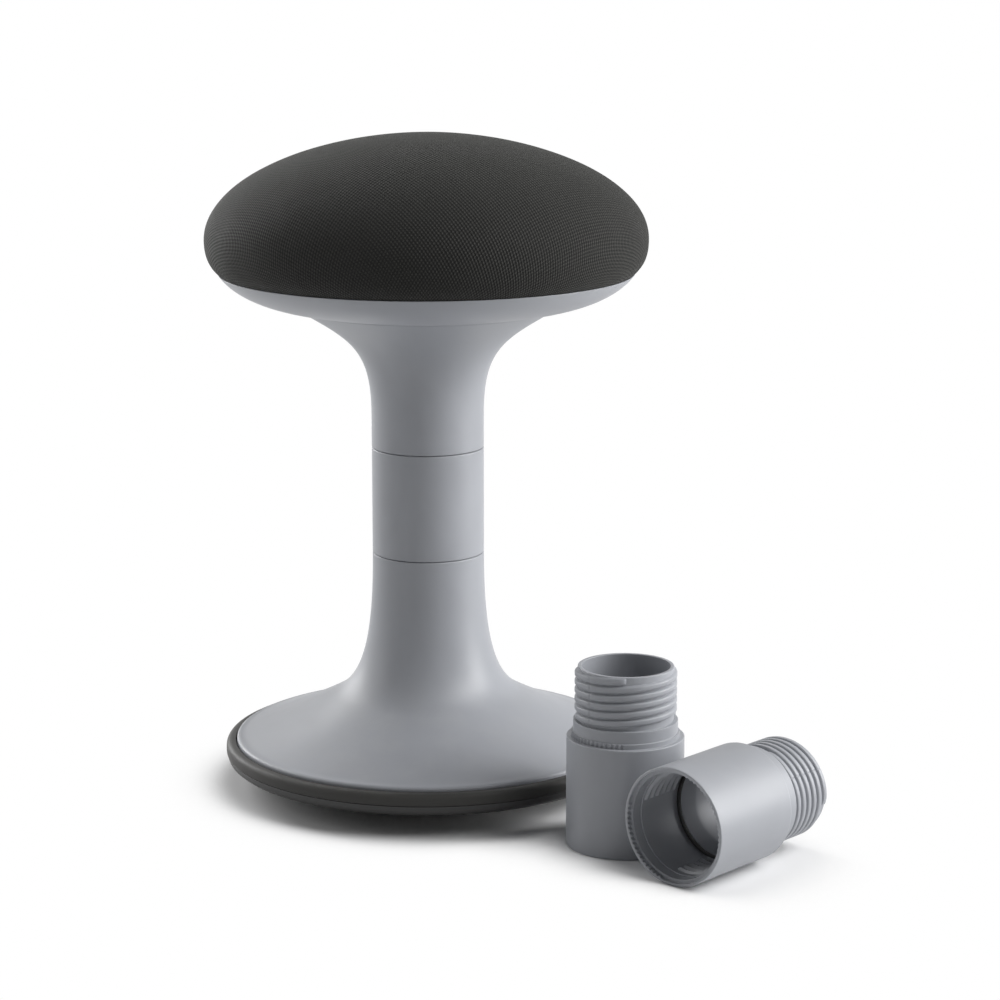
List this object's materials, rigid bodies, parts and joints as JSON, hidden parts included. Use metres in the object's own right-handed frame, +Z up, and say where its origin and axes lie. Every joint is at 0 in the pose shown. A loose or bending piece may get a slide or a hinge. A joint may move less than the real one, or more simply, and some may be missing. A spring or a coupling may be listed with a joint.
{
  "type": "wobble stool",
  "caption": "Round padded wobble stool on a screwed plastic column over a domed base with a rubber rim, with spare column sections standing and lying beside it.",
  "frame": {"origin": "middle of the bottom plate's flat foot, on the floor", "axes": "+Z up through the column and seat; -Y to the front, where the lying spare section's mouth faces; +X to the right, where the spare sections are"},
  "size_m": [0.4545, 0.4508, 0.4976],
  "materials": {
    "shell_plastic": "light grey satin moulded plastic",
    "rim_rubber": "dark grey matt rubber",
    "plate_plastic": "charcoal matt moulded plastic",
    "buffer_rubber": "black soft rubber",
    "woven_fabric": "near-black woven upholstery",
    "foam": "open-cell foam",
    "plywood": "bare plywood",
    "steel": "zinc-plated steel"
  },
  "bodies": {
    "base": {"base_shell": "shell_plastic", "rim_ring": "rim_rubber", "bottom_plate": "plate_plastic", "base_screw_1": "steel", "base_screw_2": "steel", "base_screw_3": "steel", "base_screw_4": "steel", "base_screw_5": "steel", "base_screw_6": "steel"},
    "section_ring": {"section_stop_ring": "buffer_rubber"},
    "section": {"extension_section": "shell_plastic"},
    "seat_ring": {"seat_stop_ring": "buffer_rubber"},
    "seat": {"upper_shell": "shell_plastic", "seat_board": "plywood", "t_nut_1": "steel", "t_nut_2": "steel", "t_nut_3": "steel", "t_nut_4": "steel", "seat_bolt_1": "steel", "seat_bolt_2": "steel", "seat_bolt_3": "steel", "seat_bolt_4": "steel", "seat_foam": "foam", "seat_cover": "woven_fabric"},
    "standing_spare": {"spare_section_standing": "shell_plastic", "standing_stop_ring": "buffer_rubber"},
    "lying_spare": {"spare_section_lying": "shell_plastic", "lying_stop_ring": "buffer_rubber"}
  },
  "joints": [
    {"name": "section_lift", "type": "slide", "parent": "base", "child": "section_ring", "axis": [0, 0, 1], "range_m": [0, 0.0312]},
    {"name": "section_turn", "type": "hinge", "parent": "section_ring", "child": "section", "pos_m": [0, 0, 0.22], "axis": [0, 0, 1], "range_deg": [0, 900]},
    {"name": "seat_lift", "type": "slide", "parent": "section", "child": "seat_ring", "axis": [0, 0, 1], "range_m": [0, 0.0312]},
    {"name": "seat_turn", "type": "hinge", "parent": "seat_ring", "child": "seat", "pos_m": [0, 0, 0.3], "axis": [0, 0, 1], "range_deg": [0, 900]},
    {"name": "standing_spare_lift", "type": "slide", "parent": "base", "child": "standing_spare", "axis": [0, 0, 1], "range_m": [0, 0.15]},
    {"name": "lying_spare_lift", "type": "slide", "parent": "base", "child": "lying_spare", "axis": [0, 0, 1], "range_m": [0, 0.15]}
  ],
  "couplings": [
    {"joint": "section_lift", "follows": "section_turn", "m_per_rad": 0.0019735},
    {"joint": "seat_lift", "follows": "seat_turn", "m_per_rad": 0.0019735}
  ]
}
